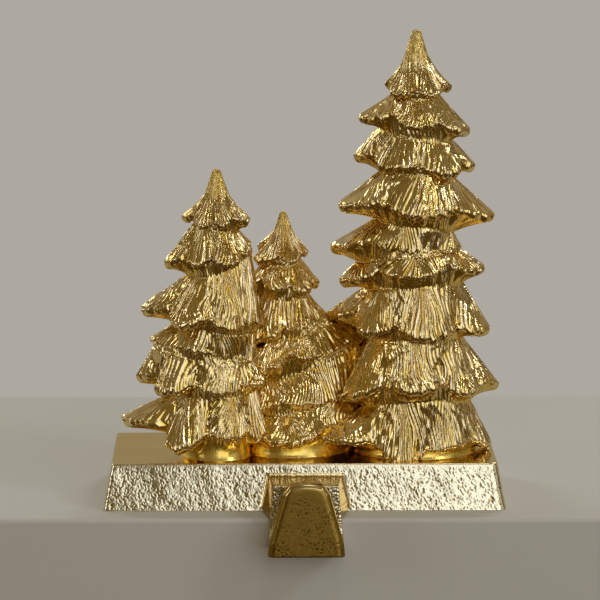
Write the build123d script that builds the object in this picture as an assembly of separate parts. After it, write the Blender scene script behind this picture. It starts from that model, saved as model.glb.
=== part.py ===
from build123d import *
from math import cos, pi, radians, sin, tan
from typing import NamedTuple
import os

# Mantel stocking holder, cast in one piece: three fir trees on a drafted base bar, with a wide hook at the
# front that hangs past the edge of a shelf. Millimetres, +Z up. The origin is the middle of the underside,
# the front of the bar faces -Y, and the hook reaches below the underside.

# Base bar
BASE_WIDTH = 165.0
BASE_DEPTH = 76.0
BASE_HEIGHT = 19.0
BASE_DRAFT = 10.7  # degrees that each side leans in
BASE_TOP_ROUND = 0.8
BASE_CORNER_ROUND = 1.5
BASE_WORN_ROUND = 3.5  # the worn corner at the front right

# Hook, from the bar's lower front edge forwards
HOOK_STANDOFF = 15.0  # shelf room between the bar's lower edge and the back of the neck
HOOK_NECK_THICK = 4.5
HOOK_THROAT = 9.5  # gap between the neck and the lip
HOOK_LIP_THICK = 5.0
HOOK_FLOOR_THICK = 5.0
HOOK_BOTTOM = 12.0  # depth of the hook below the underside
HOOK_BOTTOM_WIDTH = 31.2
HOOK_HEEL_ROUND = 2.5  # outside bend at the foot of the neck
SHANK_TOP = 14.3
SHANK_UNDERSIDE = 1.0  # the shank clears the shelf by this much
SHANK_ROOT_TOP_WIDTH = 30.8  # widths where the shank enters the bar
SHANK_ROOT_LOW_WIDTH = 37.5
SHANK_ROOT_FILLET = 1.2
NECK_TOP_WIDTH = 26.2
LIP_TOP = 18.4
LIP_SHOULDER_WIDTH = 17.4
LIP_SHOULDER_ROUND = 3.6
LIP_ARCH_RISE = 2.0  # from the shoulders to the crown of the lip
LIP_EDGE_ROUND = 2.8  # round along the front edges of the lip
THROAT_ROUND_SHARE = 0.46  # inside bends as a share of the throat, just short of meeting in the middle
CUT_ALLOWANCE = 1.0  # overlap of the shapes that are cut or joined to make the hook
NEAR = 0.01  # how near counts as the same height or face

# Trees
TALL_END_MARGIN = 32.9  # trunk's axis from the right end of the bar's top
LEFT_END_MARGIN = 42.8  # trunk's axis from the left end of the bar's top
SMALL_FROM_LEFT = 27.6  # between the axes of the left tree and the small one
TALL_SET_BACK = -1.0  # trunk's axis behind the middle of the bar
LEFT_SET_BACK = -8.0
SMALL_SET_BACK = 10.0
TRUNK_EMBED = 2.0  # depth of each trunk in the bar
TRUNK_SHOW = 1.0  # least length of trunk under the lowest branches

# Branches, alike on all three trees
BRANCH_SWING = 5.0  # degrees that a branch strays from an even spacing
BRANCH_WANDER = 0.05  # share by which a branch is longer or shorter than its tier
BRANCH_SAG = 2.0  # how far a branch tip strays from its tier's level
SWING_STEPS = (1.9, 2.3)  # steps along a sine from branch to branch and from tier to tier, for each of these
WANDER_STEPS = (2.6, 1.1)
SAG_STEPS = (1.3, 2.9)
NOTCH_SHARE = 0.4  # reach of the notch between two branches, as a share of the way from neck to tips
NOTCH_RISE = 4.6  # how far the rim rises in a notch of a full overhang
FULL_OVERHANG = 5.0
LOBE_BLUNTNESS = 2.0  # power of the rim's curve from a tip in to a notch, seen from above
LOBE_DROOP = 1.8  # power of the rim's curve from a tip up to a notch, seen from the side
TIP_SET_IN = 2.0  # lower edge of a rounded branch tip, from its end
TIP_DROP = 2.8
LEAST_ROLL = 0.15  # share of both, and of the clumps, that is left where a tier hardly stands out
FRONT_OVERHANG = 0.11  # how far a tier stands out over its neck at the front, as a share of its reach there
NECK_DROP = 2.6  # from a tier's tips down to the neck where the next tier starts
UNDER_SLOPE = 0.24  # and how much further the underside falls for each millimetre of overhang
LEADER_TOP_SHARE = 0.095  # radius of a leader's rounded top, as a share of the leader's length
LEADER_TIP_SHARE = 0.06  # facet ring on that round, and how far it is below the very top
LEADER_TIP_DROP_SHARE = 0.025
LEADER_FOOT_SHARE = 0.2  # radius where the first branches start
LEADER_BARE_SHARE = 0.43  # length of the smooth part

# Needle clumps carved down every tier, as ridges with grooves between them
RIB_HEIGHT = 1.0  # how far a ridge stands out over the grooves at the rim
RIB_DROP = 0.7  # how far it hangs below them there
RIB_UNEVEN = 0.7  # share by which one ridge is bolder or fainter than another
RIB_SWING = 0.28  # share of their spacing by which ridges and grooves stray
RIB_BOLD_STEPS = (2.2, 1.7)  # steps along a sine from column to column and from tier to tier
RIB_SWING_STEPS = (3.4, 0.8)


class Tier(NamedTuple):
    """One ring of branches: how far its tips reach from the trunk's axis and how high they are over the bar,
    the radius of the neck below them, how far the ring is turned, in degrees, the number of branches, how
    much further the neck reaches to the right where it runs together with the next tree, and how far the
    tips reach at the back, where that isn't as far as at the front."""

    left: float
    right: float
    front: float
    left_level: float
    right_level: float
    front_level: float
    neck: float
    turn: float
    branches: int
    joined: float = 0.0
    back: float = 0.0


class Tree(NamedTuple):
    """A fir. The leader is the stretch above its first tier, the ribs are the needle clumps round each tier,
    and one branch hangs lower than its tier."""

    x: float
    y: float
    leader: float
    ribs: int
    tiers: tuple
    low_tier: int
    low_branch: int
    low_drop: float


BASE_INSET = BASE_HEIGHT * tan(radians(BASE_DRAFT))
BASE_FRONT = -BASE_DEPTH / 2
TOP_HALF_WIDTH = BASE_WIDTH / 2 - BASE_INSET
LEFT_X = LEFT_END_MARGIN - TOP_HALF_WIDTH

NECK_BACK = BASE_FRONT - HOOK_STANDOFF
NECK_FRONT = NECK_BACK - HOOK_NECK_THICK
LIP_BACK = NECK_FRONT - HOOK_THROAT
LIP_FRONT = LIP_BACK - HOOK_LIP_THICK
LIP_SHOULDER = LIP_TOP - LIP_ARCH_RISE
THROAT_MIDDLE = (NECK_FRONT + LIP_BACK) / 2
THROAT_FLOOR = HOOK_FLOOR_THICK - HOOK_BOTTOM
THROAT_ROUND = THROAT_ROUND_SHARE * HOOK_THROAT
SHANK_BACK = BASE_FRONT + BASE_INSET + CUT_ALLOWANCE

TALL_TREE = Tree(
    x=TOP_HALF_WIDTH - TALL_END_MARGIN,
    y=TALL_SET_BACK,
    leader=23.0,
    ribs=36,
    tiers=(
        Tier(13.9, 15.1, 12.0, 151.6, 151.8, 150.0, 9.8, 16.0, 5),
        Tier(24.4, 21.5, 18.5, 139.4, 133.7, 134.0, 15.0, -20.0, 5),
        Tier(23.9, 24.0, 22.0, 121.1, 119.4, 120.5, 15.2, 22.0, 5),
        Tier(34.8, 33.3, 25.5, 104.1, 98.1, 99.0, 15.5, -18.0, 5),
        Tier(34.2, 17.5, 23.2, 83.7, 87.0, 86.0, 24.0, 36.0, 5),
        Tier(30.3, 31.1, 27.0, 72.8, 75.5, 74.5, 20.0, -20.0, 5),
        Tier(35.4, 30.8, 28.5, 54.5, 53.2, 53.0, 19.0, -18.0, 6),
        Tier(35.3, 32.8, 29.0, 23.8, 25.4, 27.5, 23.0, 8.0, 7),
        Tier(46.0, 30.6, 28.0, 9.0, 5.3, 6.5, 25.5, -1.0, 7),
    ),
    low_tier=8,
    low_branch=5,
    low_drop=5.5,
)
LEFT_TREE = Tree(
    x=LEFT_X,
    y=LEFT_SET_BACK,
    leader=21.7,
    ribs=30,
    tiers=(
        Tier(13.0, 15.1, 12.0, 100.0, 96.4, 96.5, 9.0, 25.7, 7),
        Tier(20.7, 14.8, 16.0, 78.9, 86.9, 80.0, 12.0, 31.0, 7, joined=2.0),
        Tier(32.1, 20.0, 20.0, 60.8, 54.0, 56.0, 16.5, 25.7, 7),
        Tier(28.6, 16.5, 18.2, 47.5, 42.0, 42.0, 26.0, 25.7, 7),
        Tier(33.0, 20.0, 22.0, 31.7, 31.0, 29.0, 17.0, 17.0, 7),
        Tier(38.2, 22.0, 23.0, 14.9, 8.5, 8.5, 14.0, 25.7, 7),
    ),
    low_tier=5,
    low_branch=4,
    low_drop=7.0,
)
SMALL_TREE = Tree(
    x=LEFT_X + SMALL_FROM_LEFT,
    y=SMALL_SET_BACK,
    leader=16.6,
    ribs=24,
    tiers=(
        Tier(13.6, 9.9, 10.0, 82.0, 81.6, 79.0, 7.0, 0.0, 5),
        Tier(20.0, 14.8, 14.0, 67.0, 67.4, 66.0, 10.0, 12.0, 6),
        Tier(24.0, 17.5, 17.0, 53.0, 55.9, 49.0, 13.0, 0.0, 6, joined=11.0),
        Tier(26.0, 34.5, 22.0, 40.0, 48.5, 34.0, 15.0, 6.0, 6, joined=20.5),
        Tier(25.0, 37.0, 29.0, 23.0, 29.0, 20.0, 15.0, 0.0, 6, joined=19.0, back=24.0),
        Tier(25.0, 34.0, 36.0, 8.0, 12.0, 7.5, 12.0, 30.0, 6, joined=20.0, back=24.0),
    ),
    low_tier=5,
    low_branch=4,
    low_drop=2.0,
)


def tier_depth(tier, angle):
    """How far the tier's branches reach on the side of the angle that is its front or its back."""
    return tier.back if tier.back and sin(angle) > 0 else tier.front


def tier_reach(tier, angle):
    """How far the tier's branches reach at an angle from +X, without the notches."""
    side = tier.right if cos(angle) > 0 else tier.left
    return side * cos(angle) ** 2 + tier_depth(tier, angle) * sin(angle) ** 2


def tier_level(tier, angle):
    """Height of the tier's tips over the bar at an angle, without the notches."""
    middle = (tier.left_level + tier.right_level) / 2
    slope = (tier.right_level - tier.left_level) / 2
    towards_front = max(0.0, -sin(angle))
    return middle + slope * cos(angle) + (tier.front_level - middle) * towards_front**2


def tier_neck(tier, angle):
    """(radius, level) of the neck under a tier at an angle, where the next tier starts."""
    deep = max(tier.neck, tier_depth(tier, angle) * (1 - FRONT_OVERHANG))
    radius = min(tier.neck * cos(angle) ** 2 + deep * sin(angle) ** 2, tier_reach(tier, angle))
    radius += tier.joined * max(0.0, cos(angle)) ** 2
    overhang = max(0.0, tier_reach(tier, angle) - radius)
    return radius, tier_level(tier, angle) - NECK_DROP - UNDER_SLOPE * overhang


def rolled_share(tier, angle, reach):
    """How fully the rim is rolled at an angle, which fades where it hardly stands out over its neck."""
    overhang = reach - tier_neck(tier, angle)[0]
    return max(LEAST_ROLL, min(1.0, overhang / (2 * TIP_SET_IN)))


def stray(steps, branch, tier):
    """A share from -1 to 1 that differs from branch to branch and from tier to tier."""
    return sin(steps[0] * branch + steps[1] * tier)


def branch_tips(tree, index):
    """(angle, reach, level) of each branch tip of a tier, each a little different from its neighbours."""
    tier = tree.tiers[index]
    tips = []
    for i in range(tier.branches):
        swing = BRANCH_SWING * stray(SWING_STEPS, i, index)
        angle = radians(tier.turn + 360 * i / tier.branches + swing)
        reach = tier_reach(tier, angle) * (1 + BRANCH_WANDER * stray(WANDER_STEPS, i, index))
        level = tier_level(tier, angle) + BRANCH_SAG * stray(SAG_STEPS, i, index)
        if (index, i) == (tree.low_tier, tree.low_branch):
            level -= tree.low_drop
        tips.append((angle, reach, level))
    return tips


def notch_between(tier, before, after):
    """(angle, reach, level) of the notch between two branch tips."""
    angle, reach, level = ((a + b) / 2 for a, b in zip(before, after))
    neck, neck_level = tier_neck(tier, angle)
    overhang = max(0.0, reach - neck)
    rise = NOTCH_RISE * min(1.0, overhang / FULL_OVERHANG)
    return angle, min(reach, neck + NOTCH_SHARE * overhang), level + rise


def scallop(tips, notches, angle):
    """(reach, level) of a scalloped rim at an angle, from its branch tips and the notches beside them."""
    start = notches[0][0]
    turned = start + (angle - start) % (2 * pi)
    branch = sum(notch[0] <= turned for notch in notches[1:-1])
    tip = tips[branch]
    notch = notches[branch] if turned < tip[0] else notches[branch + 1]
    share = (turned - tip[0]) / (notch[0] - tip[0])
    reach = tip[1] + (notch[1] - tip[1]) * share**LOBE_BLUNTNESS
    return reach, tip[2] + (notch[2] - tip[2]) * share**LOBE_DROOP


def rim_row(tree, index):
    """(angle, reach, level) round a tier's rim, with a groove and a ridge for every clump of needles."""
    tips = branch_tips(tree, index)
    first, last = tips[0], tips[-1]
    around = [(last[0] - 2 * pi, *last[1:]), *tips, (first[0] + 2 * pi, *first[1:])]
    notches = [notch_between(tree.tiers[index], *pair) for pair in zip(around, around[1:])]
    row = []
    for column in range(2 * tree.ribs):
        angle = pi * (column + RIB_SWING * stray(RIB_SWING_STEPS, column, index)) / tree.ribs
        reach, level = scallop(tips, notches, angle)
        rise = (1 + RIB_UNEVEN * stray(RIB_BOLD_STEPS, column, index)) / 2 if column % 2 else -1 / 2
        rise *= rolled_share(tree.tiers[index], angle, reach)
        row.append((angle, reach + RIB_HEIGHT * rise, level - RIB_DROP * rise))
    return row


def edge_row(tier, rim):
    """Lower edge of a tier's rounded rim."""
    row = []
    for angle, reach, level in rim:
        rolled = rolled_share(tier, angle, reach)
        row.append((angle, reach - TIP_SET_IN * rolled, level - TIP_DROP * rolled))
    return row


def tree_rows(tree):
    """Rows of (angle, radius, height over the bar) down the outside of a tree, from leader to foot."""
    top = tier_level(tree.tiers[0], 0.0) + tree.leader
    rims = [rim_row(tree, index) for index in range(len(tree.tiers))]

    def leader_ring(radius, drop):
        return [(angle, tree.leader * radius, top - tree.leader * drop) for angle, reach, level in rims[0]]

    rows = [
        leader_ring(LEADER_TIP_SHARE, LEADER_TIP_DROP_SHARE),
        leader_ring(LEADER_TOP_SHARE, LEADER_TOP_SHARE),
        leader_ring(LEADER_FOOT_SHARE, LEADER_BARE_SHARE),
    ]
    for tier, rim, next_rim in zip(tree.tiers, rims, [*rims[1:], rims[-1]]):
        neck = [(angle, *tier_neck(tier, angle)) for angle, reach, level in next_rim]
        rows += [rim, edge_row(tier, rim), neck]
    rows[-1] = [(angle, radius, max(level, TRUNK_SHOW)) for angle, radius, level in neck]
    rows.append([(angle, radius, -TRUNK_EMBED) for angle, radius, level in neck])
    return top, rows


def facet(*corners):
    return Face(Wire.make_polygon(corners, close=True))


def tree_solid(tree):
    """A closed solid of flat facets through the tree's rows."""
    top, rows = tree_rows(tree)
    rings = [
        [(tree.x + r * cos(a), tree.y + r * sin(a), BASE_HEIGHT + height) for a, r, height in row]
        for row in rows
    ]
    crown = (tree.x, tree.y, BASE_HEIGHT + top)
    foot = (tree.x, tree.y, BASE_HEIGHT - TRUNK_EMBED)
    facets = []
    for i in range(len(rings[0])):
        j = (i + 1) % len(rings[0])
        facets.append(facet(crown, rings[0][i], rings[0][j]))
        facets.append(facet(foot, rings[-1][j], rings[-1][i]))
        for upper, lower in zip(rings, rings[1:]):
            facets.append(facet(upper[i], lower[i], lower[j]))
            facets.append(facet(upper[i], lower[j], upper[j]))
    return Solid(Shell(facets))


def base_bar():
    """The drafted bar with rounded corners and top edges, most at the worn corner."""
    bar = extrude(Rectangle(BASE_WIDTH, BASE_DEPTH), BASE_HEIGHT, taper=BASE_DRAFT)
    corners = [edge for edge in bar.edges() if NEAR < edge.center().Z < BASE_HEIGHT - NEAR]
    corners.sort(key=lambda edge: edge.center().X - edge.center().Y)
    bar = bar.fillet(BASE_WORN_ROUND, corners[-1:])
    bar = bar.fillet(BASE_CORNER_ROUND, corners[:-1])
    return fillet(bar.faces().sort_by(Axis.Z)[-1].edges(), BASE_TOP_ROUND)


def across_hook(y, top_width, low_width, low):
    """An upright trapezoid across the hook at y, top_width wide at the shank's top and low_width at low."""
    spread = (low_width - top_width) / (SHANK_TOP - low)
    deep = -HOOK_BOTTOM - CUT_ALLOWANCE
    high_half = (top_width - spread * CUT_ALLOWANCE) / 2
    deep_half = (low_width + spread * (low - deep)) / 2
    high = SHANK_TOP + CUT_ALLOWANCE
    corners = [(-deep_half, y, deep), (deep_half, y, deep), (high_half, y, high), (-high_half, y, high)]
    return Wire.make_polygon(corners, close=True)


def hook_side():
    """Side view of shank, neck, floor and lip, swept across the hook."""
    corners = [
        (SHANK_BACK, SHANK_UNDERSIDE),
        (NECK_BACK, SHANK_UNDERSIDE),
        (NECK_BACK, -HOOK_BOTTOM),
        (LIP_FRONT, -HOOK_BOTTOM),
        (LIP_FRONT, LIP_TOP + CUT_ALLOWANCE),
        (LIP_BACK, LIP_TOP + CUT_ALLOWANCE),
        (LIP_BACK, THROAT_FLOOR),
        (NECK_FRONT, THROAT_FLOOR),
        (NECK_FRONT, SHANK_TOP),
        (SHANK_BACK, SHANK_TOP),
    ]
    side = make_face(Polyline(*corners, close=True))
    side = fillet([v for v in side.vertices() if abs(v.Y - THROAT_FLOOR) < NEAR], THROAT_ROUND)
    side = fillet(side.vertices().sort_by(Axis.Y)[:2].sort_by(Axis.X)[-1], HOOK_HEEL_ROUND)
    return extrude(Plane.YZ * side, SHANK_ROOT_LOW_WIDTH, both=True)


def hook_width():
    """What bounds the hook across: the tapered shank and neck, and the lip with its arched crown."""
    root = across_hook(SHANK_BACK, SHANK_ROOT_TOP_WIDTH, SHANK_ROOT_LOW_WIDTH, SHANK_UNDERSIDE)
    neck = across_hook(NECK_BACK, NECK_TOP_WIDTH, HOOK_BOTTOM_WIDTH, -HOOK_BOTTOM)
    middle = across_hook(THROAT_MIDDLE, NECK_TOP_WIDTH, HOOK_BOTTOM_WIDTH, -HOOK_BOTTOM)
    rear = Solid.make_loft([root, neck], True) + Solid.make_loft([neck, middle], True)
    spread = (HOOK_BOTTOM_WIDTH - NECK_TOP_WIDTH) / (SHANK_TOP + HOOK_BOTTOM)
    deep = -HOOK_BOTTOM - CUT_ALLOWANCE
    deep_half = (HOOK_BOTTOM_WIDTH + spread * CUT_ALLOWANCE) / 2
    floor_half = (HOOK_BOTTOM_WIDTH - spread * HOOK_FLOOR_THICK) / 2
    shoulder_half = LIP_SHOULDER_WIDTH / 2
    left_side = [(-shoulder_half, LIP_SHOULDER), (-floor_half, THROAT_FLOOR), (-deep_half, deep)]
    right_side = [(deep_half, deep), (floor_half, THROAT_FLOOR), (shoulder_half, LIP_SHOULDER)]
    crown = ThreePointArc(left_side[0], (0, LIP_TOP), right_side[-1])
    outline = make_face(Polyline(*left_side, *right_side) + crown)
    shoulders = [v for v in outline.vertices() if abs(v.Y - LIP_SHOULDER) < NEAR]
    outline = fillet(shoulders, LIP_SHOULDER_ROUND)
    front = extrude(Plane.XZ.offset(-THROAT_MIDDLE) * outline, THROAT_MIDDLE - LIP_FRONT + CUT_ALLOWANCE)
    return rear + front


def hook():
    """The hook with the front edges of its lip rounded over."""
    body = hook_side() & hook_width()
    lip_edges = body.faces().sort_by(Axis.Y)[0].edges()
    return fillet([edge for edge in lip_edges if edge.center().Z > NEAR - HOOK_BOTTOM], LIP_EDGE_ROUND)


def on_bar_front(edge):
    """Whether an edge is where a side or the top of the shank meets the bar's front face."""
    middle = edge.center()
    face_y = BASE_FRONT + middle.Z * tan(radians(BASE_DRAFT))
    inside = abs(middle.X) < SHANK_ROOT_LOW_WIDTH / 2
    beside_or_above = SHANK_UNDERSIDE + NEAR < middle.Z < SHANK_TOP + NEAR
    return inside and beside_or_above and abs(middle.Y - face_y) < NEAR


def stocking_holder():
    """The whole casting, with a fillet where the shank leaves the bar."""
    casting = base_bar() + hook()
    casting = fillet([edge for edge in casting.edges() if on_bar_front(edge)], SHANK_ROOT_FILLET)
    for tree in (TALL_TREE, LEFT_TREE, SMALL_TREE):
        casting += tree_solid(tree)
    return casting


os.makedirs("parts", exist_ok=True)
export_step(stocking_holder(), "parts/stocking_holder.step")
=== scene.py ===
import math
from typing import NamedTuple

import bpy
import numpy as np
from mathutils import Matrix, Vector, noise


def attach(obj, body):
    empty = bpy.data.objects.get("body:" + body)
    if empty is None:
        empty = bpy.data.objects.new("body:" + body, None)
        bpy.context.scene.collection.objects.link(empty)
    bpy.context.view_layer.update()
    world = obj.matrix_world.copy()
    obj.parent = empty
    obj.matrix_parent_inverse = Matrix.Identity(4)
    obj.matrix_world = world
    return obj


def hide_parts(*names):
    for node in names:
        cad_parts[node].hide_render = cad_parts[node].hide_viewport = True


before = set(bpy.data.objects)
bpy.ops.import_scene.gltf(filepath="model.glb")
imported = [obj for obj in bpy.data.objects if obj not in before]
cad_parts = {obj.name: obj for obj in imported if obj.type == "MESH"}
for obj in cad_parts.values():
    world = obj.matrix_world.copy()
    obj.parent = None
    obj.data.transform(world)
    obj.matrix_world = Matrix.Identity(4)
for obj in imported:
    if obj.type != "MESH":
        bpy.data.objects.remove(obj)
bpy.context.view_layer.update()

# Looks of a mantel stocking holder: three needled firs on a hammered bar with a wide hook, plated in gold.
# Sizes are in millimetres, as in the part's source, and become metres when a piece's mesh is made.

MM = 0.001
NODE = "stocking_holder"

# Base bar, as in the part's source
BASE_WIDTH = 165.0
BASE_DEPTH = 76.0
BASE_HEIGHT = 19.0
BASE_DRAFT = math.radians(10.7)
BASE_TOP_ROUND = 0.8
BASE_CORNER_ROUND = 1.5
BASE_WORN_ROUND = 3.5
BASE_FRONT = -BASE_DEPTH / 2
BASE_INSET = BASE_HEIGHT * math.tan(BASE_DRAFT)
TOP_HALF_WIDTH = BASE_WIDTH / 2 - BASE_INSET

# Hook, as in the part's source
NECK_BACK = BASE_FRONT - 15.0
NECK_FRONT = NECK_BACK - 4.5
LIP_BACK = NECK_FRONT - 9.5
LIP_FRONT = LIP_BACK - 5.0
HOOK_BOTTOM = -12.0
THROAT_FLOOR = -7.0
THROAT_ROUND = 0.46 * (NECK_FRONT - LIP_BACK)
THROAT_MIDDLE = (NECK_FRONT + LIP_BACK) / 2
HOOK_BOTTOM_WIDTH = 31.2
HOOK_HEEL_ROUND = 2.5
SHANK_TOP = 14.3
SHANK_UNDERSIDE = 1.0
SHANK_ROOT_TOP_WIDTH = 30.8
SHANK_ROOT_LOW_WIDTH = 37.5
SHANK_ROOT_FILLET = 1.2
SHANK_BACK = BASE_FRONT + BASE_INSET + 1.0
NECK_TOP_WIDTH = 26.2
LIP_TOP = 18.4
LIP_SHOULDER = 16.4
LIP_SHOULDER_WIDTH = 17.4
LIP_SHOULDER_ROUND = 3.6
LIP_EDGE_ROUND = 2.8

# Branches, as in the part's source
TRUNK_EMBED = 2.0
TRUNK_SHOW = 1.0
BRANCH_SWING = 5.0
BRANCH_WANDER = 0.05
BRANCH_SAG = 2.0
SWING_STEPS = (1.9, 2.3)
WANDER_STEPS = (2.6, 1.1)
SAG_STEPS = (1.3, 2.9)
NOTCH_SHARE = 0.4
NOTCH_RISE = 4.6
FULL_OVERHANG = 5.0
LOBE_BLUNTNESS = 2.0
LOBE_DROOP = 1.8
TIP_SET_IN = 2.0
TIP_DROP = 2.8
LEAST_ROLL = 0.15
FRONT_OVERHANG = 0.11
NECK_DROP = 2.6
UNDER_SLOPE = 0.24
LEADER_TOP_SHARE = 0.095
LEADER_FOOT_SHARE = 0.2
LEADER_BARE_SHARE = 0.43
RIB_HEIGHT = 1.0
RIB_DROP = 0.7
RIB_UNEVEN = 0.7
RIB_SWING = 0.28
RIB_BOLD_STEPS = (2.2, 1.7)
RIB_SWING_STEPS = (3.4, 0.8)

# Needles carved over the branches. Heights of needles at a place are shares of their full height.
ROW_PITCH = 0.9  # spacing of the mesh's rows down a skirt
NEEDLE_PITCH = 1.6  # between two needles at a rim
NEEDLE_LENGTH = 13.0
NEEDLE_DEPTH = 1.3
NEEDLE_ROUNDNESS = 2.2  # power of a needle's section: 1 is a roof, 2 a round back
NEEDLE_SWAY = 1.7  # needle widths that a needle strays to the sides
NEEDLE_LEAN = 0.2  # most that the needles of a branch lean to a side, as a slope
NEEDLE_LEAST = 0.4  # height of the faintest needle, as a share of the boldest
NEEDLE_FAN = 0.75  # how tightly the needles of a branch meet at its root
LANE_NEEDLES = 3  # needles that sway together
CLUMP_NEEDLES = 4  # needles in a clump
CLUMP_LENGTH = 1.6 * NEEDLE_LENGTH
CLUMP_DEPTH = 0.35
TUFT_NEEDLES = 8  # needles in a tuft, which strays as a whole
TUFT_LENGTH = 8.0
TUFT_DRIFT = 2.6  # needle widths that a tuft strays to the sides
TUFT_SWELL = 0.7  # how far one tuft stands higher than another
TUFT_WORN = 0.6  # height of the needles in the smoothest tufts
TUFT_WORN_END = 0.2  # a tuft's noise up to which it is that smooth
TUFT_WORN_SPAN = 0.45  # further noise over which its needles get to the full height
BRANCH_SWELL = 1.6  # how far a branch stands higher in its middle than at its sides
SWELL_CROWN = 0.2  # share of the swell that lifts the branch's middle, while the rest sinks its sides
SWELL_BLUNTNESS = 1.5
SHINGLE = 0.4  # how far one edge of a branch stands over its neighbour
RIM_FRAYED_OUT = 0.6  # how far the rim strays from an even curve, needle by needle
RIM_FRAYED_DOWN = 1.0
SKIRT_START = 0.03  # share of a skirt's height that its neck takes up
EDGE_ROWS = 4
UNDER_ROWS = 5
UNDER_HOLLOW = 0.6
UNDER_LENGTH = 8.0  # length of the needles' pattern across an underside
BELL = 0.5  # how far a tree's top tier bends in under its leader, from 0, a straight cone, to 1
LEADER_NEEDLES = 0.5  # height of the needles at the leader's foot
NECK_NEEDLES = 0.85  # height of the needles at the other tiers' necks
NECK_NEEDLES_SPAN = 0.3  # share of a skirt's height over which they get to the full height
EDGE_WEAR = 0.45  # height that the needles lose round the rolled edge
UNDER_NEEDLES = 0.4  # height of the needles where an underside starts
FOOT_NEEDLES = 0.1  # height of the needles under the lowest tier, as a share of those under another

# Rows of the leader, and height over the bar and widening of the trunk's rings
TIP_ROWS = 5
TIP_FIRST_ROW = 0.25  # share of the tip's bend
LEADER_ROWS = 8
TRUNK_RINGS = ((0.5, 0.4), (0.0, 1.0), (-TRUNK_EMBED, 1.0))

# Ridge heights, from 0 in a groove to 1 on a ridge, which tone the plating with a painted shade in the
# grooves and a painted highlight on the ridges
RIDGE_NEEDLES = 0.85
RIDGE_CLUMPS = 0.35
RIDGE_SUNK = 0.05  # taken off both together
RIDGE_FAINT = 0.4  # share that is left where there are no needles, which paints a darker shade under the tiers
RIDGE_TIP = 0.4
# The trunk's ridge height is set high to lighten the shaded feet: painted light.
RIDGE_TRUNK = 0.6

# Random tables: rows, fewest columns, and steps from a tree's seed to a tier's and from that to a pattern's
TABLE_ROWS = 16
TABLE_LEAST_COLUMNS = 3
TIER_SEED = 10
STROKE_START_SEED = 1
STROKE_HEIGHT_SEED = 2
NEEDLE_SEED = 3
CLUMP_SEED = 6
LEAN_SEED = 9
DRIFT_SEED = 500
TUFT_SEED = 700


class Tier(NamedTuple):
    """One ring of branches, with the same numbers as in the part's source."""

    left: float
    right: float
    front: float
    left_level: float
    right_level: float
    front_level: float
    neck: float
    turn: float
    branches: int
    joined: float = 0.0
    back: float = 0.0


class Tree(NamedTuple):
    name: str
    seed: int
    x: float
    y: float
    leader: float
    ribs: int
    column_pitch: float  # spacing of the mesh's columns round a rim
    tiers: tuple
    low_branch: int  # branch of the lowest tier that hangs lower than the others
    low_drop: float


LEFT_X = 42.8 - TOP_HALF_WIDTH
TALL_TREE = Tree(
    name="tall_tree",
    seed=100,
    x=TOP_HALF_WIDTH - 32.9,
    y=-1.0,
    leader=23.0,
    ribs=36,
    column_pitch=0.42,
    tiers=(
        Tier(13.9, 15.1, 12.0, 151.6, 151.8, 150.0, 9.8, 16.0, 5),
        Tier(24.4, 21.5, 18.5, 139.4, 133.7, 134.0, 15.0, -20.0, 5),
        Tier(23.9, 24.0, 22.0, 121.1, 119.4, 120.5, 15.2, 22.0, 5),
        Tier(34.8, 33.3, 25.5, 104.1, 98.1, 99.0, 15.5, -18.0, 5),
        Tier(34.2, 17.5, 23.2, 83.7, 87.0, 86.0, 24.0, 36.0, 5),
        Tier(30.3, 31.1, 27.0, 72.8, 75.5, 74.5, 20.0, -20.0, 5),
        Tier(35.4, 30.8, 28.5, 54.5, 53.2, 53.0, 19.0, -18.0, 6),
        Tier(35.3, 32.8, 29.0, 23.8, 25.4, 27.5, 23.0, 8.0, 7),
        Tier(46.0, 30.6, 28.0, 9.0, 5.3, 6.5, 25.5, -1.0, 7),
    ),
    low_branch=5,
    low_drop=5.5,
)
LEFT_TREE = Tree(
    name="left_tree",
    seed=200,
    x=LEFT_X,
    y=-8.0,
    leader=21.7,
    ribs=30,
    column_pitch=0.34,
    tiers=(
        Tier(13.0, 15.1, 12.0, 100.0, 96.4, 96.5, 9.0, 25.7, 7),
        Tier(20.7, 14.8, 16.0, 78.9, 86.9, 80.0, 12.0, 31.0, 7, joined=2.0),
        Tier(32.1, 20.0, 20.0, 60.8, 54.0, 56.0, 16.5, 25.7, 7),
        Tier(28.6, 16.5, 18.2, 47.5, 42.0, 42.0, 26.0, 25.7, 7),
        Tier(33.0, 20.0, 22.0, 31.7, 31.0, 29.0, 17.0, 17.0, 7),
        Tier(38.2, 22.0, 23.0, 14.9, 8.5, 8.5, 14.0, 25.7, 7),
    ),
    low_branch=4,
    low_drop=7.0,
)
SMALL_TREE = Tree(
    name="small_tree",
    seed=300,
    x=LEFT_X + 27.6,
    y=10.0,
    leader=16.6,
    ribs=24,
    column_pitch=0.34,
    tiers=(
        Tier(13.6, 9.9, 10.0, 82.0, 81.6, 79.0, 7.0, 0.0, 5),
        Tier(20.0, 14.8, 14.0, 67.0, 67.4, 66.0, 10.0, 12.0, 6),
        Tier(24.0, 17.5, 17.0, 53.0, 55.9, 49.0, 13.0, 0.0, 6, joined=11.0),
        Tier(26.0, 34.5, 22.0, 40.0, 48.5, 34.0, 15.0, 6.0, 6, joined=20.5),
        Tier(25.0, 37.0, 29.0, 23.0, 29.0, 20.0, 15.0, 0.0, 6, joined=19.0, back=24.0),
        Tier(25.0, 34.0, 36.0, 8.0, 12.0, 7.5, 12.0, 30.0, 6, joined=20.0, back=24.0),
    ),
    low_branch=4,
    low_drop=2.0,
)


# Blends, noise and directions

def blend(start, end, share):
    return start + (end - start) * share


def eased(share):
    return share * share * (3 - 2 * share)


def random_table(seed, rows, columns):
    return np.random.default_rng(seed).random((rows, columns))


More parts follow.
